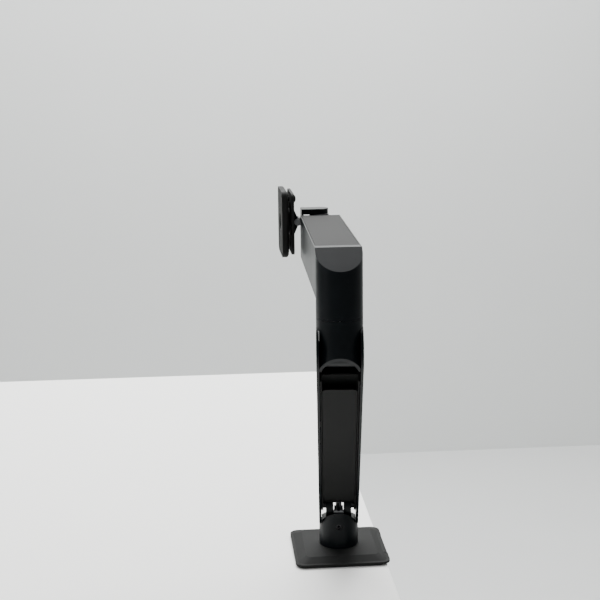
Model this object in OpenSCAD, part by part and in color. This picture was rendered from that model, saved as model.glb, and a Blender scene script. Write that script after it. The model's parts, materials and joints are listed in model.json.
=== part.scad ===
// Gas-spring monitor arm for a desk clamp, as an assembly of separate pieces.
// Millimetres, +Z up. The origin is on the desk top, under the centre of the base plate.
// The lower arm leans towards -Y, and the screen plate faces -X.

/* [Arm] */
// Outer width of the lower arm, and outer diameter of the hub and the elbow
arm_w = 52; // [50:1:54]
// Distance between the two lift pivots of the lower arm
lower_len = 366; // [340:2:380]
// Distance from the elbow axis to the pan axis of the head
upper_len = 300; // [280:2:310]
// Angle of the lower arm above the horizontal
lift = 48; // [44:1:52]
// Turn of the lower arm from -Y towards -X
base_yaw = 5.5; // [0:0.5:10]
// Turn of the upper arm from +Y towards +X
upper_yaw = 1.3; // [0:0.1:3]

/* [Base and clamp] */
// Side of the square base plate
base_w = 124; // [120:1:130]
// Height of the lift pivot above the desk
hub_pivot_z = 65; // [64:1:68]
// Desk thickness that the clamp is set to
desk_t = 25; // [15:1:45]
// Distance from the hub axis to the desk's edge
desk_edge = 58; // [56:1:58]

/* [Head] */
// Side of the screen plate
vesa_w = 86; // [85:1:90]
// Side of the quick-release plate behind it
release_w = 80; // [76:1:82]
// Hole spacing of the screen plate
vesa_pitch = 75; // [75]

/* [Hidden] */
$fn = 96;
// Hulled children use fewer sides, because hulls come out faceted
HULL_FN = 32;
// Gap between pieces that move past each other
gap = 0.3;
// Radial clearance of a running pin or shaft
run = 0.05;
// Small overlap of cutting tools past a face
eps = 0.1;

// ---- Lower arm section, in the arm's own plane: x along the arm, y up from its axis ----
arm_r = arm_w / 2;
cheek_t = 3;
cheek_in = arm_r - cheek_t;
tray_out = 22.2;
tray_wall = 1.8;
tray_floor = -14;
tray_floor_t = 1.5;
tray_start = 34;
tray_end = 338;
cover_w = 39.6;
cover_start = 60;
cover_end = 322;
cover_t = 1.8;

// ---- Hub and elbow drums that sit between the cheeks ----
drum_r = 20;
drum_half = 16.8;
slot_half = 7;
neck_half = 14;
shell_t = 3.5;
// The front shells are cut parallel to the arm, this far below its axis
shell_cut = 22.5;
// Link pivot, from the lift pivot, and the link bars beside the drums
link_r = 14;
link_angle = 125;
link_dx = link_r * cos(link_angle);
link_dy = link_r * sin(link_angle);
link_pin_r = 3.5;
link_in = 17.2;
link_t = 3;
link_half_h = 4.5;
link_eye_r = 6.5;
lift_pin_r = 6;

// ---- Gas spring: its rod eye sits on an anchor pin in the hub ----
anchor_r = 12;
anchor_angle = -55;
anchor_dx = anchor_r * cos(anchor_angle);
anchor_dy = anchor_r * sin(anchor_angle);
anchor_pin_r = 3.5;
rod_eye_r = 5.3;
rod_eye_out = 8.5;
rod_eye_u = anchor_r * cos(anchor_angle - lift);
rod_eye_v = -10.85;
spring_end_u = 200;
spring_end_v = 3.2;
spring_pin_r = 3.2;
spring_angle = atan2(spring_end_v - rod_eye_v, spring_end_u - rod_eye_u);
spring_len = norm([spring_end_u - rod_eye_u, spring_end_v - rod_eye_v]);
spring_r = 9;
rod_r = 4;
spring_tube_start = 98;

// ---- Positions in the row frame ----
elbow_x = -lower_len * cos(lift) * sin(base_yaw);
elbow_y = -lower_len * cos(lift) * cos(base_yaw);
elbow_z = hub_pivot_z + lower_len * sin(lift);
elbow_seam = elbow_z + 36.2;
pan_x = elbow_x + upper_len * sin(upper_yaw);
pan_y = elbow_y + upper_len * cos(upper_yaw);

// ---- Base ----
pad_t = 2;
flange_top = 5;
base_top = 10.4;
ledge_w = 3.5;
raised_w = 95;
base_corner = 12;
post_r = 11;
post_top = 33;
hub_bottom = base_top + 0.4;
bush_wall = 4;
tension_z = 41;

// ---- Clamp ----
bracket_t = 3.5;
bracket_w = 62;
jaw_depth = 96;
clamp_x = 18;
screw_r = 5;
nut_r = 9;
clamp_pad_r = 24;

// ---- Upper arm, z from its elbow seam; y along the arm ----
upper_bottom = elbow_seam + gap;
upper_top = elbow_seam + 76.4;
box_h = 55;
box_bottom = upper_top - box_h;
box_end = upper_len - 16;
box_wall = 3;
top_cover_w = 48.6;
top_cover_t = 1.8;
top_cover_start = 20;
top_cover_end = box_end - 3.4;
elbow_shaft_r = 9;
pan_boss_r = 13;
pan_pin_r = 6;

// ---- Head, from the pan axis, towards -X ----
head_z = upper_top - 9;
cap_bottom = upper_top + 0.5;
cap_t = 7;
wall_out = -24;
wall_in = -21.4;
tilt_x = -29.5;
knuckle_out = -35.5;
release_in = -35.8;
release_t = 3.5;
vesa_in = -43.2;
vesa_out = -51.7;
thumb_dz = 29.5;

// Colours
BLACK = [0.09, 0.10, 0.11];
SATIN = [0.14, 0.15, 0.15];
PLASTIC = [0.12, 0.12, 0.12];
RUBBER = [0.05, 0.05, 0.05];
STEEL = [0.55, 0.56, 0.58];
DARK_STEEL = [0.24, 0.24, 0.25];
BRONZE = [0.62, 0.48, 0.28];
NYLON = [0.80, 0.79, 0.74];

// ---------------------------------------------------------------- frames and helpers

// The hub's side plane: x forwards, y up, z across the arm; the origin is the lower lift pivot
module hub_side() translate([0, 0, hub_pivot_z]) rotate([0, 0, -base_yaw]) rotate([90, 0, -90]) children();

// The arm's side plane: x along the arm, y out of its top, z across the arm
module arm_side() hub_side() rotate([0, 0, lift]) children();

// The elbow's side plane, level like the hub's, at the upper lift pivot
module elbow_side() hub_side() translate([lower_len * cos(lift), lower_len * sin(lift), 0]) children();

// Upright frames: z is the row's z; y points away from the arm's front
module hub_upright() rotate([0, 0, -base_yaw]) children();
module elbow_upright() translate([elbow_x, elbow_y, 0]) rotate([0, 0, -base_yaw]) children();
module upper_upright() translate([elbow_x, elbow_y, 0]) rotate([0, 0, -upper_yaw]) children();
module head_upright() translate([pan_x, pan_y, 0]) children();

// A pair of equal shapes on both sides of the arm
module both_sides() {
    children();
    mirror([0, 0, 1]) children();
}

// Rectangle with round corners, about its centre
module round_rect(w, d, r) {
    square([w - 2 * r, d], center = true);
    square([w, d - 2 * r], center = true);
    for (sx = [-1, 1], sy = [-1, 1])
        translate([sx * (w / 2 - r), sy * (d / 2 - r)]) circle(r);
}

// Upright ring from z0 to z1
module ring(r_out, r_in, z0, z1) translate([0, 0, z0]) difference() {
    cylinder(r = r_out, h = z1 - z0);
    translate([0, 0, -eps]) cylinder(r = r_in, h = z1 - z0 + 2 * eps);
}

// Upright rod from z0 to z1
module rod(r, z0, z1) translate([0, 0, z0]) cylinder(r = r, h = z1 - z0);

// Upright rod with a chamfer on both ends
module soft_rod(r, z0, z1, c) translate([0, 0, z0]) rotate_extrude() polygon([
    [0, 0], [r - c, 0], [r, c], [r, z1 - z0 - c], [r - c, z1 - z0], [0, z1 - z0]
]);

// Countersunk screw along z: its flat head ends at z0 and its shank at z1
module sunk_screw(r, z0, z1) translate([0, 0, z0]) difference() {
    union() {
        cylinder(r1 = 2 * r, r2 = r, h = r);
        cylinder(r = r, h = z1 - z0);
    }
    translate([0, 0, -eps]) cylinder(r = 0.6 * r, h = r, $fn = 6);
}

// Outline of the lower arm from the side
module arm_outline(r) {
    circle(r);
    translate([lower_len, 0]) circle(r);
    translate([0, -r]) square([lower_len, 2 * r]);
}

// Wedge of a circle from angle a0 to a1, for cutting
module wedge(r, a0, a1) polygon(concat([[0, 0]], [for (i = [0:6]) let (a = a0 + (a1 - a0) * i / 6)
    [r * cos(a), r * sin(a)]]));

// ---------------------------------------------------------------- base and clamp

// Cast base plate: thin flange, narrow ledge, bevel and a raised flat top
module base_plate() color(SATIN) difference() {
    union() {
        translate([0, 0, pad_t]) linear_extrude(flange_top - pad_t) round_rect(base_w, base_w, base_corner);
        hull() {
            translate([0, 0, flange_top - 0.5]) linear_extrude(0.5)
                round_rect(base_w - 2 * ledge_w, base_w - 2 * ledge_w, base_corner - 2, $fn = HULL_FN);
            translate([0, 0, base_top - 0.1]) linear_extrude(0.1)
                round_rect(raised_w, raised_w, 7, $fn = HULL_FN);
        }
    }
    translate([0, 0, pad_t - eps]) cylinder(r = post_r + run, h = base_top);
    translate([0, 0, pad_t - eps]) cylinder(r = 20.1, h = 4 + eps);
    for (a = [45:90:315]) rotate(a) translate([15.5, 0, 0]) cylinder(r = 2.1, h = 9);
    // Pocket for the clamp bracket's top leg
    translate([27, -bracket_w / 2 - 0.2, pad_t - eps]) cube([base_w, bracket_w + 0.4, bracket_t + 0.2 + eps]);
    for (y = [-20, 20]) translate([42, y, 0]) cylinder(r = 2.6, h = 9);
}

module base_pad() color(RUBBER) linear_extrude(pad_t - 0.05) difference() {
    translate([-2.5, 0]) round_rect(base_w - 9, base_w - 4, base_corner - 2);
    translate([desk_edge - 0.2, -base_w / 2]) square(base_w);
}

// Swivel post with a flange under the base plate and a groove for the lock screw
module base_post() color(STEEL) difference() {
    rotate_extrude() polygon([
        [0, pad_t], [20, pad_t], [20, 5.9], [post_r, 5.9], [post_r, 20], [post_r - 1.5, 20],
        [post_r - 1.5, 25], [post_r, 25], [post_r, post_top - 1], [post_r - 1, post_top], [0, post_top]
    ]);
    for (a = [45:90:315]) rotate(a) translate([15.5, 0, pad_t - eps]) {
        cylinder(r = 2.1, h = 5);
        cylinder(r = 4.1, h = 2.1);
    }
}

module post_screws() color(DARK_STEEL)
    for (a = [45:90:315]) rotate(a) translate([15.5, 0, 0]) sunk_screw(2, pad_t + 0.05, 8.8);

module thrust_washer() color(NYLON) ring(22, post_r + run, base_top + 0.02, hub_bottom - 0.02);

// C-shaped steel bracket: top leg, back and bottom leg with the screw's hole
module clamp_bracket() color(SATIN) difference() {
    union() {
        translate([27.3, -bracket_w / 2, pad_t + 0.1]) cube([desk_edge + bracket_t - 27.3, bracket_w, bracket_t]);
        translate([desk_edge, -bracket_w / 2, -jaw_depth - bracket_t])
            cube([bracket_t, bracket_w, jaw_depth + 2 * bracket_t + pad_t]);
        translate([clamp_x, 0, -jaw_depth - bracket_t]) cylinder(r = bracket_w / 2, h = bracket_t);
        translate([clamp_x, -bracket_w / 2, -jaw_depth - bracket_t])
            cube([desk_edge + bracket_t - clamp_x, bracket_w, bracket_t]);
        // Two pressed ribs stiffen the bottom corner
        for (y = [-18, 18]) translate([desk_edge + eps, y - 2, -jaw_depth - eps]) rotate([-90, 0, 0])
            linear_extrude(4) polygon([[0, 0], [-14, 0], [0, -14]]);
    }
    translate([clamp_x, 0, -jaw_depth - bracket_t - eps]) cylinder(r = nut_r + run, h = bracket_t + 2 * eps);
    for (y = [-20, 20]) translate([42, y, 0]) {
        cylinder(r = 2.6, h = 9);
        translate([0, 0, pad_t]) cylinder(r = 5.1, h = 2.6);
    }
}

module bracket_screws() color(DARK_STEEL)
    for (y = [-20, 20]) translate([42, y, 0]) sunk_screw(2.5, pad_t + 0.12, 8.9);

// Flanged nut pressed into the bottom leg
module clamp_nut() color(STEEL) translate([clamp_x, 0, 0]) difference() {
    union() {
        rod(nut_r, -jaw_depth - 14, -jaw_depth);
        rod(nut_r + 4, -jaw_depth - 14, -jaw_depth - bracket_t - 0.05);
    }
    translate([0, 0, -jaw_depth - 20]) cylinder(r = screw_r + run, h = 30);
}

clamp_pad_top = -desk_t;
module clamp_pad_rubber() color(RUBBER) translate([clamp_x, 0, 0])
    soft_rod(clamp_pad_r - 1, clamp_pad_top - 2, clamp_pad_top, 0.5);

// Pressure pad with a socket for the screw's round tip
module clamp_pad() color(DARK_STEEL) translate([clamp_x, 0, 0]) difference() {
    union() {
        soft_rod(clamp_pad_r, clamp_pad_top - 6, clamp_pad_top - 2.05, 0.8);
        rod(10, clamp_pad_top - 16, clamp_pad_top - 6);
    }
    translate([0, 0, clamp_pad_top - 16 - eps]) cylinder(r = 7 + run, h = 10);
}

clamp_screw_end = -jaw_depth - 34;
module clamp_screw() color(STEEL) translate([clamp_x, 0, 0]) {
    soft_rod(7, clamp_pad_top - 15.8, clamp_pad_top - 6.2, 1);
    soft_rod(screw_r, clamp_screw_end - desk_t, clamp_pad_top - 15, 1);
}

// Star knob on the end of the screw
module clamp_knob() color(PLASTIC) translate([clamp_x, 0, clamp_screw_end - desk_t - 6]) difference() {
    union() {
        linear_extrude(18) difference() {
            circle(23);
            for (a = [30:60:330]) rotate(a) translate([27, 0]) circle(8);
        }
        soft_rod(11, 0, 27, 1.5);
    }
    translate([0, 0, 6]) cylinder(r = screw_r + 0.02, h = 30);
}

// ---------------------------------------------------------------- hub

// Room that the cheeks sweep on both sides of a drum, in a side plane
module cheek_room() both_sides() translate([0, 0, cheek_in - gap]) cylinder(r = arm_r + 2 * gap, h = 20);

// Drum with its slot, pins' holes and neck; the neck reaches y1
module drum(y1) difference() {
    linear_extrude(2 * drum_half, center = true) {
        circle(drum_r);
        translate([-neck_half, min(0, y1)]) square([2 * neck_half, abs(y1)]);
    }
    cylinder(r = lift_pin_r + 0.02, h = 60, center = true);
    translate([link_dx, link_dy, 0]) cylinder(r = link_pin_r + 0.02, h = 60, center = true);
}

// Front shell of a hub or elbow tube, cut parallel to the arm at rest
module front_shell(y0, y1) intersection() {
    rotate([-90, 0, 0]) translate([0, 0, y0]) difference() {
        cylinder(r = arm_r, h = y1 - y0);
        translate([0, 0, -eps]) cylinder(r = arm_r - shell_t, h = y1 - y0 + 2 * eps);
    }
    linear_extrude(2 * cheek_in - 2 * gap, center = true) polygon([
        [0, y0], [arm_r + 1, y0], [arm_r + 1, y1], [0, y1]
    ]);
}

// Half plane below or above the arm's underside line through a lift pivot
module under_line(side) rotate([0, 0, lift]) linear_extrude(100, center = true)
    translate([-100, side > 0 ? -shell_cut : -shell_cut - 100]) square([200, 100]);

module hub() color(BLACK) difference() {
    hub_side() difference() {
        union() {
            rotate([-90, 0, 0]) rod(arm_r, hub_bottom - hub_pivot_z, -drum_r);
            intersection() {
                front_shell(-26, 0);
                under_line(-1);
            }
            drum(-22);
        }
        cheek_room();
    }
    hub_side() {
        // Slot for the spring's rod eye
        translate([-30, -20, -slot_half]) cube([30 + arm_r - shell_t - 1, 50, 2 * slot_half]);
        translate([anchor_dx, anchor_dy, 0]) cylinder(r = anchor_pin_r + 0.02, h = 2 * 14.2, center = true);
        // Tension screw's hole, and the access it leaves in the front
        translate([0, tension_z - hub_pivot_z, 0]) rotate([0, 90, 0]) cylinder(r = 3.6, h = 40);
    }
    cylinder(r = post_r + bush_wall + 0.02, h = post_top + 1);
    hub_upright() translate([0, 0, 22.5]) rotate([-90, 0, 0]) cylinder(r = 2.05, h = 40);
}

module swivel_bush() color(NYLON) difference() {
    ring(post_r + bush_wall, post_r + run, hub_bottom, post_top - 5);
    hub_upright() translate([0, 0, 22.5]) rotate([-90, 0, 0]) cylinder(r = 2.05, h = 40);
}

module swivel_lock_screw() color(DARK_STEEL) hub_upright() translate([0, 0, 22.5]) rotate([-90, 0, 0])
    difference() {
        translate([0, 0, post_r - 0.8]) cylinder(r = 2, h = 14);
        translate([0, 0, post_r + 10]) cylinder(r = 1.1, h = 10, $fn = 6);
    }

// Socket screw in the front of the hub that sets the lift tension
module tension_screw() color(DARK_STEEL) hub_side() translate([6, tension_z - hub_pivot_z, 0])
    rotate([0, 90, 0]) difference() {
        soft_rod(3.5, 0, 17, 0.4);
        translate([0, 0, 12]) cylinder(r = 2, h = 6, $fn = 6);
    }

// Stub pin across one side, from z0 to z1, with a head of radius r_head
module stub_pin(r, z0, z1, r_head, t_head) both_sides() {
    rod(r, z0, z1);
    if (t_head > 0) rod(r_head, z1 - t_head, z1);
}

module lift_pins() color(DARK_STEEL) hub_side() stub_pin(lift_pin_r, slot_half + 1, cheek_in + 1.2, 0, 0);
module hub_link_pins() color(DARK_STEEL) hub_side() translate([link_dx, link_dy, 0])
    stub_pin(link_pin_r, slot_half + 1, 22, 4.5, 1.5);
module spring_anchor_pin() color(STEEL) hub_side() translate([anchor_dx, anchor_dy, 0])
    cylinder(r = anchor_pin_r, h = 28, center = true);
module lift_washers() color(PLASTIC) hub_side() both_sides() ring(8.8, lift_pin_r + run, 20.5, cheek_in - 0.1);

// ---------------------------------------------------------------- lower arm

// Outer casing: two cheeks and a top wall that wraps round the hub
module arm_casing() color(BLACK) arm_side() difference() {
    linear_extrude(arm_w, center = true) arm_outline(arm_r);
    linear_extrude(2 * cheek_in, center = true) {
        arm_outline(cheek_in);
        translate([-arm_r - 2, -arm_r - 2]) square([lower_len + 2 * arm_r + 4, arm_r + 2]);
        wedge(arm_r * 2, 150, 270);
        translate([lower_len - 22, 0]) square([60, 60]);
    }
    // Bores for the bushes and recesses for the caps
    for (u = [0, lower_len]) translate([u, 0, 0]) {
        cylinder(r = 8.02, h = 2 * (cheek_in + 1.5), center = true);
        both_sides() translate([0, 0, arm_r - 1.5]) cylinder(r = 10.1, h = 3);
    }
    for (u = [60, 190, 320]) translate([u, -18, 0]) cylinder(r = 1.6, h = arm_w - 2, center = true);
}

module pivot_bushes() color(BRONZE) arm_side() for (u = [0, lower_len]) translate([u, 0, 0])
    both_sides() ring(8, lift_pin_r + run, cheek_in, arm_r - 1.55);

module pivot_caps() color(SATIN) arm_side() for (u = [0, lower_len]) translate([u, 0, 0])
    both_sides() soft_rod(10, arm_r - 1.45, arm_r - 0.1, 0.4);

// Plastic channel inside the arm that the cables lie in
module cable_tray() color(PLASTIC) arm_side() difference() {
    translate([tray_start, -24.6, -tray_out]) cube([tray_end - tray_start, 24.6 - 10, 2 * tray_out]);
    translate([tray_start - 1, -30, -tray_out + tray_wall])
        cube([lower_len, 30 + tray_floor - tray_floor_t, 2 * (tray_out - tray_wall)]);
    translate([tray_start - 1, tray_floor, -tray_out + tray_wall])
        cube([lower_len, 30, 2 * (tray_out - tray_wall)]);
    for (u = [60, 190, 320]) translate([u, -18, 0]) cylinder(r = 1.3, h = arm_w, center = true);
    // Both ends are cut back in a curve clear of the pivots
    cylinder(r = 33, h = arm_w, center = true);
}

module tray_screws() color(DARK_STEEL) arm_side() for (u = [60, 190, 320]) translate([u, -18, 0])
    both_sides() rod(1.25, tray_out - 1.6, arm_r - 1.3);

module spring_pin() color(STEEL) arm_side() translate([spring_end_u, spring_end_v, 0])
    cylinder(r = spring_pin_r, h = 2 * cheek_in - 0.2, center = true);

// Clip-on cover of the cable channel
module lower_cable_cover() color(PLASTIC) arm_side() {
    translate([(cover_start + cover_end) / 2, -arm_r + 0.4 + cover_t / 2, 0]) rotate([90, 0, 0])
        linear_extrude(cover_t, center = true) round_rect(cover_end - cover_start, cover_w, 5);
    for (u = [90:67:291]) both_sides() translate([u, -24.2, cover_w / 2 - 2.2]) cube([14, 5, 1.6]);
}

// Gas spring: the tube turns into an eye on a pin in the arm
module along_spring() arm_side() translate([rod_eye_u, rod_eye_v, 0]) rotate([0, 0, spring_angle])
    rotate([0, 90, 0]) children();

module spring_cylinder() color(DARK_STEEL) difference() {
    union() {
        along_spring() {
            difference() {
                soft_rod(spring_r, spring_tube_start, spring_len - 11, 1.5);
                rod(spring_r - 1.5, spring_tube_start + 3, spring_len - 14);
                rod(rod_r + 0.08, spring_tube_start - 1, spring_tube_start + 5);
            }
            rod(4, spring_len - 12, spring_len - 5);
        }
        arm_side() translate([spring_end_u, spring_end_v, 0]) cylinder(r = 7, h = 12, center = true);
    }
    arm_side() translate([spring_end_u, spring_end_v, 0])
        cylinder(r = spring_pin_r + run, h = 20, center = true);
}

module spring_rod() color(STEEL) difference() {
    union() {
        along_spring() {
            rod(rod_r, 6, spring_tube_start + 40);
            rod(spring_r - 1.6, spring_tube_start + 34, spring_tube_start + 40);
        }
        arm_side() translate([rod_eye_u, rod_eye_v, 0]) cylinder(r = rod_eye_out, h = 12, center = true);
    }
    arm_side() translate([rod_eye_u, rod_eye_v, 0]) cylinder(r = rod_eye_r, h = 20, center = true);
}

// Two bars that keep the elbow level, with a tie near each end
module parallel_link() color(DARK_STEEL) hub_side() translate([link_dx, link_dy, 0]) rotate([0, 0, lift])
    difference() {
        union() {
            both_sides() translate([0, 0, link_in]) linear_extrude(link_t) {
                translate([0, -link_half_h]) square([lower_len, 2 * link_half_h]);
                circle(link_eye_r);
                translate([lower_len, 0]) circle(link_eye_r);
            }
            for (u = [52, lower_len - 70]) translate([u, 1.5, -link_in - 1]) cube([16, 3, 2 * link_in + 2]);
        }
        for (u = [0, lower_len]) translate([u, 0, 0]) cylinder(r = link_pin_r + run, h = 60, center = true);
    }

// ---------------------------------------------------------------- elbow

module elbow_bracket() color(BLACK) elbow_side() difference() {
    union() {
        // Full-width tube above the cheeks
        rotate([-90, 0, 0]) rod(arm_r, 22, 36);
        intersection() {
            front_shell(-24, 24);
            under_line(1);
        }
        drum(24);
    }
    cheek_room();
    // Room for the lift pins' washers
    both_sides() translate([0, 0, 20.2]) cylinder(r = 9.2, h = 20);
    // Room for the link bars' eyes and the arm's top wall
    intersection() {
        cylinder(r = 27, h = 2 * cheek_in, center = true);
        translate([-60, -60, -30]) cube([60 - neck_half - 0.4, 120, 60]);
    }
    rotate([-90, 0, 0]) translate([0, 0, 20]) cylinder(r = elbow_shaft_r + 0.02, h = 30);
    translate([arm_r - 2, 33, 0]) rotate([-90, 0, 0]) cylinder(r = 1.5, h = 10);
}

module elbow_pins() color(DARK_STEEL) elbow_side() stub_pin(lift_pin_r, slot_half + 1, cheek_in + 1.2, 0, 0);
module elbow_link_pins() color(DARK_STEEL) elbow_side() translate([link_dx, link_dy, 0])
    stub_pin(link_pin_r, slot_half + 1, 22, 4.5, 1.5);
module elbow_washers() color(PLASTIC) elbow_side() both_sides()
    ring(8.8, lift_pin_r + run, 20.5, cheek_in - 0.1);

// Swivel shaft pressed into the elbow, threaded at its top
module elbow_shaft() color(STEEL) elbow_upright() difference() {
    union() {
        rod(elbow_shaft_r, elbow_z + 22, upper_bottom + 38);
        rod(6, upper_bottom + 38, upper_bottom + 50);
    }
    rod(2.5, upper_bottom + 44, upper_bottom + 60);
}

module elbow_stop_screw() color(STEEL) elbow_upright() translate([0, -arm_r + 2, 0])
    soft_rod(1.4, elbow_z + 33.4, elbow_seam - 0.3, 0.3);

module elbow_washer() color(NYLON) elbow_upright()
    ring(23, elbow_shaft_r + run, elbow_z + 36.02, upper_bottom - 0.02);

// ---------------------------------------------------------------- upper arm

// Elbow tube with a sloped facet, and a box-section arm with an open top
module upper_arm_body() color(SATIN) upper_upright() difference() {
    union() {
        rod(arm_r, upper_bottom, upper_top);
        translate([-arm_r, 0, box_bottom]) cube([arm_w, box_end, box_h]);
        translate([-pan_boss_r + 1, box_end - 1, box_bottom + 6])
            cube([2 * pan_boss_r - 2, 17, box_h - 7]);
        translate([0, upper_len, 0]) rod(pan_boss_r, box_bottom + 6, upper_top - 0.4);
    }
    // Facet across the front of the elbow tube
    translate([0, -arm_r, upper_top - 22]) rotate([34, 0, 0]) translate([-50, -50, 0]) cube([100, 100, 60]);
    // Bore for the bush, and the room above it for the nut
    rod(elbow_shaft_r + 3.02, upper_bottom - 1, upper_bottom + 36);
    rod(16, upper_bottom + 36, upper_bottom + 54);
    // Inside of the box, its cable slots and the ledge for the cover
    translate([-arm_r + box_wall, 30, box_bottom + box_wall])
        cube([arm_w - 2 * box_wall, box_end - 30 - box_wall, box_h]);
    for (y = [44, box_end - 62]) translate([-13, y, box_bottom - 1]) cube([26, 40, 8]);
    translate([-top_cover_w / 2 - 0.6, top_cover_start, upper_top - top_cover_t - 0.2])
        cube([top_cover_w + 1.2, box_end - top_cover_start - box_wall + 0.4, 10]);
    // Bore for the pan bush
    translate([0, upper_len, 0]) rod(pan_pin_r + 2.02, box_bottom, upper_top + 5);
    // Screw holes under the cover
    for (y = [25, box_end - box_wall]) translate([0, y, 0]) rod(1.3, upper_top - 9, upper_top - 1);
}

module elbow_bush() color(BRONZE) upper_upright()
    ring(elbow_shaft_r + 3, elbow_shaft_r + run, upper_bottom, upper_bottom + 35.8);

module elbow_nut() color(STEEL) elbow_upright() {
    ring(15, elbow_shaft_r + run, upper_bottom + 36.1, upper_bottom + 37.9);
    difference() {
        translate([0, 0, upper_bottom + 38.05]) cylinder(r = 11, h = 9, $fn = 6);
        rod(6.02, upper_bottom + 38, upper_bottom + 60);
    }
}

// Lift-off cover plate of the cable box
module top_cover() color(SATIN) upper_upright() {
    translate([0, (top_cover_start + top_cover_end) / 2 + 0.6, upper_top - top_cover_t])
        linear_extrude(top_cover_t) round_rect(top_cover_w, top_cover_end - top_cover_start - 0.6, 1.2);
    for (sx = [-1, 1], y = [60:60:240]) translate([sx * 21.6 - 0.7, y, upper_top - 7]) cube([1.4, 16, 6]);
}

// Clips under the upper arm that hold the screen's cables
module cable_clips() color(PLASTIC) upper_upright() for (y = [115, 185]) translate([0, y, box_bottom]) {
    difference() {
        translate([-15, 0, -13]) cube([30, 12, 12.95]);
        translate([-12.6, -1, -10.6]) cube([25.2, 14, 8.4]);
        translate([9, -1, -14]) cube([2.6, 14, 6]);
    }
}

module end_plug() color(PLASTIC) upper_upright() translate([0, box_end - box_wall - 3, 0]) {
    translate([-arm_r + box_wall + 0.1, 0, box_bottom + box_wall + 0.1])
        cube([arm_w - 2 * box_wall - 0.2, 2.9, 18]);
}

// ---------------------------------------------------------------- head

module pan_bush() color(BRONZE) upper_upright() translate([0, upper_len, 0])
    ring(pan_pin_r + 2, pan_pin_r + run, box_bottom + 6, upper_top - 0.4);

// Round-ended cap over the arm's end, with a wall and a tongue for the tilt bolt
module pan_bracket() color(BLACK) head_upright() difference() {
    union() {
        rod(12, cap_bottom, cap_bottom + cap_t);
        translate([wall_out, -12, cap_bottom]) cube([-wall_out, 24, cap_t]);
        translate([wall_out, -12, head_z - 11]) cube([wall_in - wall_out, 24, cap_bottom + cap_t - head_z + 11]);
        translate([tilt_x, 0, head_z]) rotate([90, 0, 0]) cylinder(r = 4.2, h = 13, center = true);
        translate([tilt_x, -6.5, head_z - 4.2]) cube([wall_out - tilt_x + 0.5, 13, 8.4]);
    }
    rod(pan_pin_r + 0.02, cap_bottom - 1, cap_bottom + 4);
    translate([tilt_x, 0, head_z]) rotate([90, 0, 0]) cylinder(r = 2.5 + run, h = 40, center = true);
}

module pan_pin() color(STEEL) head_upright() {
    rod(pan_pin_r, box_bottom + 2.2, cap_bottom + 4);
    rod(4, box_bottom - 6, box_bottom + 2.3);
}

module pan_washers() color(STEEL) head_upright() {
    ring(11.5, pan_pin_r + run, upper_top - 0.35, upper_top + 0.45);
    ring(11.5, pan_pin_r + run, box_bottom + 4.1, box_bottom + 5.9);
    ring(10.5, pan_pin_r + run, box_bottom + 2.2, box_bottom + 4);
}

module pan_nut() color(DARK_STEEL) head_upright() difference() {
    translate([0, 0, box_bottom - 4.8]) cylinder(r = 8.5, h = 6.9, $fn = 6);
    rod(4.02, box_bottom - 9, box_bottom + 3);
}

// Tapered clevis that tilts on the pan bracket
module tilt_knuckle() color(BLACK) head_upright() difference() {
    union() {
        translate([knuckle_out, -12, head_z - 19.4]) cube([1.6, 24, 38.8]);
        for (y = [-12, 6.8]) translate([0, y + 5.2, head_z]) rotate([90, 0, 0]) {
            linear_extrude(5.2) polygon([
                [knuckle_out + 0.4, -19.1], [knuckle_out + 0.4, 19.1], [tilt_x + 0.5, 5], [tilt_x + 0.5, -5]
            ]);
            translate([tilt_x, 0, 0]) cylinder(r = 5.2, h = 5.2);
        }
    }
    translate([tilt_x, 0, head_z]) rotate([90, 0, 0]) cylinder(r = 2.52, h = 40, center = true);
    translate([knuckle_out - 1, 0, head_z]) rotate([0, 90, 0]) cylinder(r = 5.02, h = 10);
}

module tilt_bolt() color(STEEL) head_upright() translate([tilt_x, 0, head_z]) rotate([90, 0, 0]) {
    cylinder(r = 2.5, h = 28, center = true);
    translate([0, 0, 12.1]) cylinder(r = 4.5, h = 2.2);
}

module tilt_nut() color(STEEL) head_upright() translate([tilt_x, 0, head_z]) rotate([90, 0, 0]) difference() {
    translate([0, 0, -14.6]) cylinder(r = 4.6, h = 2.4, $fn = 6);
    cylinder(r = 2.52, h = 40, center = true);
}

// Rod along -X from x0 to x1, at the screen plate's centre
module head_rod(r, x0, x1) translate([x1, 0, head_z]) rotate([0, 90, 0]) cylinder(r = r, h = x0 - x1);

// Shaft that the screen plate turns on
module rotation_shaft() color(STEEL) head_upright() head_rod(5, tilt_x - 5.1, vesa_out + 1.5);

module release_plate() color(SATIN) head_upright() difference() {
    translate([release_in - release_t, 0, head_z]) rotate([0, 90, 0])
        linear_extrude(release_t) round_rect(release_w, release_w, 9);
    head_rod(5 + run, 0, -60);
    translate([0, 0, thumb_dz]) head_rod(3 + run, 0, -60);
    for (a = [0, 180, 270]) translate([0, 0, head_z]) rotate([a, 0, 0]) translate([-60, 29, 0])
        rotate([0, 90, 0]) cylinder(r = 5, h = 60);
}

module release_hub() color(BLACK) head_upright() difference() {
    head_rod(17.5, release_in - release_t, vesa_in);
    head_rod(5 + run, 0, -60);
}

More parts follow.
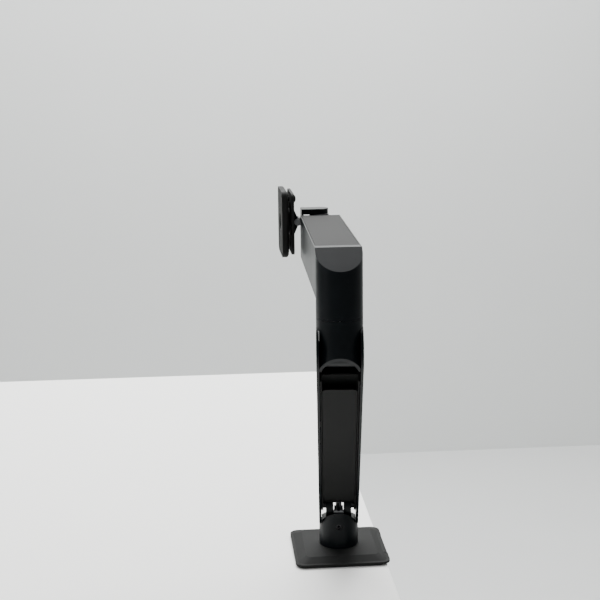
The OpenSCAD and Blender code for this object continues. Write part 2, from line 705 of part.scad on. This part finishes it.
// Screen plate with four clearance holes and soft edges on the arm's side
module vesa_plate() color(SATIN) head_upright() difference() {
    union() {
        translate([vesa_out, 0, head_z]) rotate([0, 90, 0])
            linear_extrude(vesa_in - vesa_out - 3) round_rect(vesa_w, vesa_w, 10);
        hull() for (t = [[3.1, 0], [1.5, 0.9], [0.1, 3]])
            translate([vesa_in - t[0], 0, head_z]) rotate([0, 90, 0]) linear_extrude(0.1)
                round_rect(vesa_w - 2 * t[1], vesa_w - 2 * t[1], 9, $fn = HULL_FN);
    }
    head_rod(5 + run, 0, -60);
    head_rod(11, vesa_out + 5, -60);
    translate([0, 0, thumb_dz]) head_rod(2.9, 0, vesa_in - 6);
    for (y = [-1, 1], z = [-1, 1]) translate([0, y * vesa_pitch / 2, z * vesa_pitch / 2]) head_rod(2.25, 0, -60);
}

module rotation_nut() color(DARK_STEEL) head_upright() difference() {
    head_rod(9, vesa_out + 4.8, vesa_out + 1.8);
    head_rod(5.02, 0, -60);
}

module thumb_washer() color(NYLON) head_upright() translate([0, 0, thumb_dz]) difference() {
    head_rod(5, release_in + 0.9, release_in + 0.1);
    head_rod(3 + run, 0, -60);
}

// Domed thumb screw that locks the screen plate
module thumb_screw() color(PLASTIC) head_upright() translate([0, 0, thumb_dz]) {
    head_rod(3, release_in + 1, vesa_in + 0.3);
    head_rod(2.8, vesa_in + 0.5, vesa_in - 5);
    translate([release_in + 1, 0, head_z]) rotate([0, 90, 0]) rotate_extrude() intersection() {
        translate([0, -3.2]) circle(7.4);
        square([6.3, 5]);
    }
}

base_plate();
base_pad();
base_post();
post_screws();
thrust_washer();
clamp_bracket();
bracket_screws();
clamp_nut();
clamp_screw();
clamp_knob();
clamp_pad();
clamp_pad_rubber();
hub();
swivel_bush();
swivel_lock_screw();
tension_screw();
lift_pins();
hub_link_pins();
spring_anchor_pin();
lift_washers();
arm_casing();
pivot_bushes();
pivot_caps();
cable_tray();
tray_screws();
spring_pin();
lower_cable_cover();
spring_cylinder();
spring_rod();
parallel_link();
elbow_bracket();
elbow_pins();
elbow_link_pins();
elbow_washers();
elbow_shaft();
elbow_stop_screw();
elbow_washer();
upper_arm_body();
elbow_bush();
elbow_nut();
top_cover();
cable_clips();
end_plug();
pan_bush();
pan_bracket();
pan_pin();
pan_washers();
pan_nut();
tilt_knuckle();
tilt_bolt();
tilt_nut();
rotation_shaft();
release_plate();
release_hub();
vesa_plate();
rotation_nut();
thumb_washer();
thumb_screw();
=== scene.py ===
import json
import math
import bmesh
import bpy
from mathutils import Matrix, Vector


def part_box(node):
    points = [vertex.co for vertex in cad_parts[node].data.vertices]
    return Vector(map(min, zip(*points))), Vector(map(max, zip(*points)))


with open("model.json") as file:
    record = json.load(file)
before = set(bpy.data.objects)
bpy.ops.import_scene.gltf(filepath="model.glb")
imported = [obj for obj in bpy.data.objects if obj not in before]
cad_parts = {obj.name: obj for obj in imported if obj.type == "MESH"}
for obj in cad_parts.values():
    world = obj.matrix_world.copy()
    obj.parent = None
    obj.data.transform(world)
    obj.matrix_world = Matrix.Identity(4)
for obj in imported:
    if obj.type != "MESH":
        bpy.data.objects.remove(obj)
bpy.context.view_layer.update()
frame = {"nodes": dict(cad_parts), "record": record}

nodes = frame["nodes"]
scene = bpy.context.scene


# ---------------------------------------------------------------- materials

WEAR_RADIUS = 0.0007        # metres of edge that wear reaches
FLAT_COSINE = 0.995         # above this a face counts as flat
WORN_COSINE = 0.90          # below this an edge is fully worn
WEAR_SCALE = 90.0           # size of the worn patches
WEAR_AMOUNT = 0.6           # how much of the wear colour shows at most
SMUDGE_SCALE = 18.0         # size of the slow colour variation


def new_material(name):
    mat = bpy.data.materials.new(name)
    mat.use_nodes = True
    tree = mat.node_tree
    return mat, tree, tree.nodes["Principled BSDF"]


def math_node(tree, op, a, b=None):
    n = tree.nodes.new("ShaderNodeMath")
    n.operation = op
    for i, v in enumerate((a, b)):
        if v is None:
            continue
        if isinstance(v, (int, float)):
            n.inputs[i].default_value = v
        else:
            tree.links.new(v, n.inputs[i])
    return n.outputs[0]


def noise(tree, coords, scale, detail=4.0, rough=0.55, stretch=None):
    if stretch:
        m = tree.nodes.new("ShaderNodeMapping")
        m.inputs["Scale"].default_value = stretch
        tree.links.new(coords, m.inputs["Vector"])
        coords = m.outputs["Vector"]
    n = tree.nodes.new("ShaderNodeTexNoise")
    n.inputs["Scale"].default_value = scale
    n.inputs["Detail"].default_value = detail
    n.inputs["Roughness"].default_value = rough
    tree.links.new(coords, n.inputs["Vector"])
    return n.outputs["Fac"]


def ramp(tree, fac, stops):
    r = tree.nodes.new("ShaderNodeValToRGB")
    while len(r.color_ramp.elements) < len(stops):
        r.color_ramp.elements.new(0.5)
    for e, (pos, col) in zip(r.color_ramp.elements, stops):
        e.position = pos
        e.color = (*col, 1.0)
    tree.links.new(fac, r.inputs["Fac"])
    return r.outputs["Color"]


def edge_mask(tree):
    """1 along sharp edges, 0 on flat faces, from how far a bevelled normal turns away from the true one."""
    bev = tree.nodes.new("ShaderNodeBevel")
    bev.samples = 4
    bev.inputs["Radius"].default_value = WEAR_RADIUS
    geo = tree.nodes.new("ShaderNodeNewGeometry")
    dot = tree.nodes.new("ShaderNodeVectorMath")
    dot.operation = "DOT_PRODUCT"
    tree.links.new(bev.outputs[0], dot.inputs[0])
    tree.links.new(geo.outputs["Normal"], dot.inputs[1])
    m = tree.nodes.new("ShaderNodeMapRange")
    m.inputs["From Min"].default_value = FLAT_COSINE
    m.inputs["From Max"].default_value = WORN_COSINE
    tree.links.new(dot.outputs["Value"], m.inputs["Value"])
    return m.outputs[0]


def mix_colour(tree, fac, a, b):
    n = tree.nodes.new("ShaderNodeMix")
    n.data_type = "RGBA"
    tree.links.new(fac, n.inputs["Factor"])
    for key, v in (("A", a), ("B", b)):
        sock = [s for s in n.inputs if s.name == key and s.type == "RGBA"][0]
        if isinstance(v, tuple):
            sock.default_value = (*v, 1.0)
        else:
            tree.links.new(v, sock)
    return [s for s in n.outputs if s.type == "RGBA"][0]


def finish_material(name, dark, light, wear, rough, grain, bump, metallic=0.0, stretch=None, spec=0.5):
    """Base colour with slow variation and edge wear, broken-up roughness, and a fine surface texture.

    dark and light are the ends of the slow variation, wear the colour on worn edges or None, rough the lowest
    and highest roughness, grain the fine texture's scale, and bump its strength and depth in metres.
    """
    mat, tree, bsdf = new_material(name)
    tc = tree.nodes.new("ShaderNodeTexCoord").outputs["Object"]
    slow = noise(tree, tc, SMUDGE_SCALE, 5.0, 0.6)
    colour = ramp(tree, slow, [(0.3, dark), (0.72, light)])
    if wear:
        patches = noise(tree, tc, WEAR_SCALE, 6.0, 0.65)
        worn = math_node(tree, "MULTIPLY", edge_mask(tree), patches)
        worn = math_node(tree, "MULTIPLY", worn, WEAR_AMOUNT)
        colour = mix_colour(tree, worn, colour, wear)
    tree.links.new(colour, bsdf.inputs["Base Color"])
    fine = noise(tree, tc, grain, 3.0, 0.6, stretch)
    r = tree.nodes.new("ShaderNodeMapRange")
    r.inputs["To Min"].default_value = rough[0]
    r.inputs["To Max"].default_value = rough[1]
    blend = math_node(tree, "ADD", math_node(tree, "MULTIPLY", slow, 0.6), math_node(tree, "MULTIPLY", fine, 0.4))
    tree.links.new(blend, r.inputs["Value"])
    tree.links.new(r.outputs[0], bsdf.inputs["Roughness"])
    bsdf.inputs["Metallic"].default_value = metallic
    bsdf.inputs["Specular IOR Level"].default_value = spec
    b = tree.nodes.new("ShaderNodeBump")
    b.inputs["Strength"].default_value = bump[0]
    b.inputs["Distance"].default_value = bump[1]
    tree.links.new(fine, b.inputs["Height"])
    tree.links.new(b.outputs[0], bsdf.inputs["Normal"])
    return mat


MATS = {
    "black_metal": finish_material(
        "satin_black_paint", dark=(0.0022, 0.0034, 0.0044), light=(0.0036, 0.0054, 0.0068),
        wear=(0.022, 0.026, 0.029), rough=(0.26, 0.40), grain=900.0, bump=(0.10, 0.00006), spec=0.13),
    "satin_metal": finish_material(
        "textured_black_paint", dark=(0.009, 0.0094, 0.0092), light=(0.0135, 0.0139, 0.0135),
        wear=(0.06, 0.06, 0.057), rough=(0.62, 0.78), grain=2200.0, bump=(0.25, 0.00008), spec=0.14),
    "black_plastic": finish_material(
        "grained_plastic", dark=(0.0048, 0.0050, 0.0050), light=(0.0085, 0.0088, 0.0086),
        wear=(0.03, 0.03, 0.03), rough=(0.46, 0.64), grain=1600.0, bump=(0.32, 0.0001), spec=0.08),
    "rubber": finish_material(
        "rubber", dark=(0.005, 0.005, 0.005), light=(0.010, 0.010, 0.009),
        wear=None, rough=(0.75, 0.92), grain=1100.0, bump=(0.4, 0.0001), spec=0.3),
    "steel": finish_material(
        "turned_steel", dark=(0.42, 0.43, 0.44), light=(0.55, 0.55, 0.56), wear=(0.7, 0.7, 0.7),
        rough=(0.22, 0.40), grain=700.0, bump=(0.18, 0.00004), metallic=1.0, stretch=(1.0, 1.0, 14.0)),
    "dark_steel": finish_material(
        "black_oxide_steel", dark=(0.030, 0.030, 0.033), light=(0.052, 0.052, 0.055),
        wear=(0.22, 0.22, 0.21), rough=(0.34, 0.52), grain=900.0, bump=(0.2, 0.00005), metallic=0.85),
    "bronze": finish_material(
        "sintered_bronze", dark=(0.30, 0.19, 0.08), light=(0.42, 0.28, 0.13), wear=(0.6, 0.45, 0.25),
        rough=(0.35, 0.55), grain=2600.0, bump=(0.4, 0.00006), metallic=1.0),
    "nylon": finish_material(
        "nylon", dark=(0.58, 0.56, 0.50), light=(0.68, 0.66, 0.60),
        wear=None, rough=(0.45, 0.6), grain=1200.0, bump=(0.15, 0.00005)),
}
slot_of = {s["node"]: s["material_slot"] for s in frame["record"]["subparts"]}
LOOKS_LIKE = {"upper_arm_body": "black_metal"}      # its slot in the record is satin_metal
for name, obj in nodes.items():
    mat = MATS[LOOKS_LIKE.get(name, slot_of[name])]
    if not obj.material_slots:
        obj.data.materials.append(mat)
    for s in obj.material_slots:
        s.material = mat


# ---------------------------------------------------------------- rounded edges

WIDE, NARROW = 0.0008, 0.0003       # bevel widths in metres
SHARP = math.radians(32)            # edges that turn by more than this are rounded


def soften(name, width, segments):
    """Rounds a CAD node's sharp edges with modifiers; its own mesh stays as it is."""
    obj = nodes[name]
    weld = obj.modifiers.new("weld", "WELD")
    weld.merge_threshold = 1e-6
    bev = obj.modifiers.new("bevel", "BEVEL")
    bev.width = width
    bev.segments = segments
    bev.limit_method = "ANGLE"
    bev.angle_limit = SHARP
    bev.use_clamp_overlap = True
    bev.harden_normals = False
    wn = obj.modifiers.new("normals", "WEIGHTED_NORMAL")
    wn.keep_sharp = True


for name in ("base_plate", "hub", "arm_casing", "elbow_bracket", "upper_arm_body", "lower_cable_cover", "top_cover",
             "pan_bracket", "clamp_bracket", "release_plate", "vesa_plate", "clamp_knob", "pivot_caps"):
    soften(name, WIDE, 3)
for name in ("thumb_screw", "tilt_knuckle", "clamp_pad", "cable_tray", "cable_clips"):
    soften(name, NARROW, 2)


# ---------------------------------------------------------------- room and light

ROOM = 6.0                  # half the room's width
FLOOR_Z = -0.74
WALL_Y = 2.6
WALL_TOP = 4.0
DESK_LEFT, DESK_FRONT, DESK_REAR = -1.1, -0.7, 0.954
DESK_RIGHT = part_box("clamp_bracket")[1].x - 0.0036      # 0.1 mm short of the clamp bracket's 3.5 mm back
DESK_BOTTOM, DESK_TOP = -0.0247, -0.0003
DESK_EDGE = 0.0012


def staged_mesh(name, bm, mat):
    """Turns a bmesh into a staged object."""
    me = bpy.data.meshes.new(name)
    bm.to_mesh(me)
    bm.free()
    me.materials.append(mat)
    obj = bpy.data.objects.new(name, me)
    scene.collection.objects.link(obj)


def plane_mesh(name, corners, mat):
    bm = bmesh.new()
    bm.faces.new([bm.verts.new(c) for c in corners])
    staged_mesh(name, bm, mat)


def plain(name, colour, rough):
    """A nearly even colour for the room."""
    mat, tree, bsdf = new_material(name)
    tc = tree.nodes.new("ShaderNodeTexCoord").outputs["Object"]
    lo = tuple(c * 0.985 for c in colour)
    tree.links.new(ramp(tree, noise(tree, tc, 4.0, 3.0), [(0.3, lo), (0.7, colour)]), bsdf.inputs["Base Color"])
    bsdf.inputs["Roughness"].default_value = rough
    return mat


floor_mat = plain("pale_floor", (0.54, 0.55, 0.545), 0.6)
wall_mat = plain("pale_wall", (0.72, 0.735, 0.725), 0.8)
desk_mat = plain("white_desk", (0.93, 0.93, 0.91), 0.45)
plane_mesh("floor", [(x * ROOM, y * ROOM, FLOOR_Z) for x, y in ((-1, -1), (1, -1), (1, 1), (-1, 1))], floor_mat)
plane_mesh("wall", [(x * ROOM, WALL_Y, z) for x, z in ((-1, FLOOR_Z), (1, FLOOR_Z), (1, WALL_TOP), (-1, WALL_TOP))],
           wall_mat)


def desk_top():
    """Desk top with softly rounded edges, held in the clamp's jaw."""
    bm = bmesh.new()
    outline = ((DESK_LEFT, DESK_FRONT), (DESK_RIGHT, DESK_FRONT), (DESK_RIGHT, DESK_REAR), (DESK_LEFT, DESK_REAR))
    bottom = [bm.verts.new((x, y, DESK_BOTTOM)) for x, y in outline]
    top = [bm.verts.new((x, y, DESK_TOP)) for x, y in outline]
    bm.faces.new(bottom[::-1])
    bm.faces.new(top)
    for i in range(4):
        k = (i + 1) % 4
        bm.faces.new((bottom[i], bottom[k], top[k], top[i]))
    bmesh.ops.bevel(bm, geom=bm.edges[:], offset=DESK_EDGE, segments=4, profile=0.5, affect="EDGES")
    staged_mesh("desk", bm, desk_mat)


desk_top()


def area(name, loc, target, size, power):
    """A rectangular light at loc, turned towards target; size in metres and power in watts."""
    light = bpy.data.lights.new(name, "AREA")
    light.shape = "RECTANGLE"
    light.size, light.size_y = size
    light.energy = power
    obj = bpy.data.objects.new(name, light)
    obj.location = loc
    obj.rotation_euler = (Vector(target) - Vector(loc)).to_track_quat("-Z", "Y").to_euler()
    scene.collection.objects.link(obj)


AIM = Vector((0, 0, 0.25))          # the middle of the arm
area("top", (-0.3, 1.7, 2.3), (-0.1, 0.3, 0), (2.8, 1.2), 150)
area("wall_wash", (0.4, 1.0, 3.0), (0.1, 2.6, 0.3), (3.4, 0.8), 120)
area("window", (-2.0, -0.7, 1.1), AIM, (0.4, 1.5), 17)
area("room", (1.7, -1.5, 1.8), AIM, (1.2, 1.2), 9)
area("back", (1.6, 1.2, 1.5), AIM, (1.2, 1.0), 8)
world = bpy.data.worlds.new("studio")
scene.world = world
world.use_nodes = True
world.node_tree.nodes["Background"].inputs["Color"].default_value = (0.86, 0.88, 0.88, 1)
world.node_tree.nodes["Background"].inputs["Strength"].default_value = 0.34


# ---------------------------------------------------------------- camera

EYE = (-0.1678, -1.5541, 0.6542)
YAW, PITCH, ROLL = 0.077, -0.196, -0.014        # radians, solved from edges in the photo
LENS = 73.6
forward = Vector((math.sin(YAW) * math.cos(PITCH), math.cos(YAW) * math.cos(PITCH), math.sin(PITCH)))
right = forward.cross(Vector((0, 0, 1))).normalized()
up = right.cross(forward)
side = right * math.cos(ROLL) + up * math.sin(ROLL)
rise = side.cross(forward)
cam_data = bpy.data.cameras.new("camera")
cam_data.sensor_width = 36
cam_data.lens = LENS
cam = bpy.data.objects.new("camera", cam_data)
cam.matrix_world = Matrix.Translation(EYE) @ Matrix((side, rise, -forward)).transposed().to_4x4()
scene.collection.objects.link(cam)
scene.camera = cam
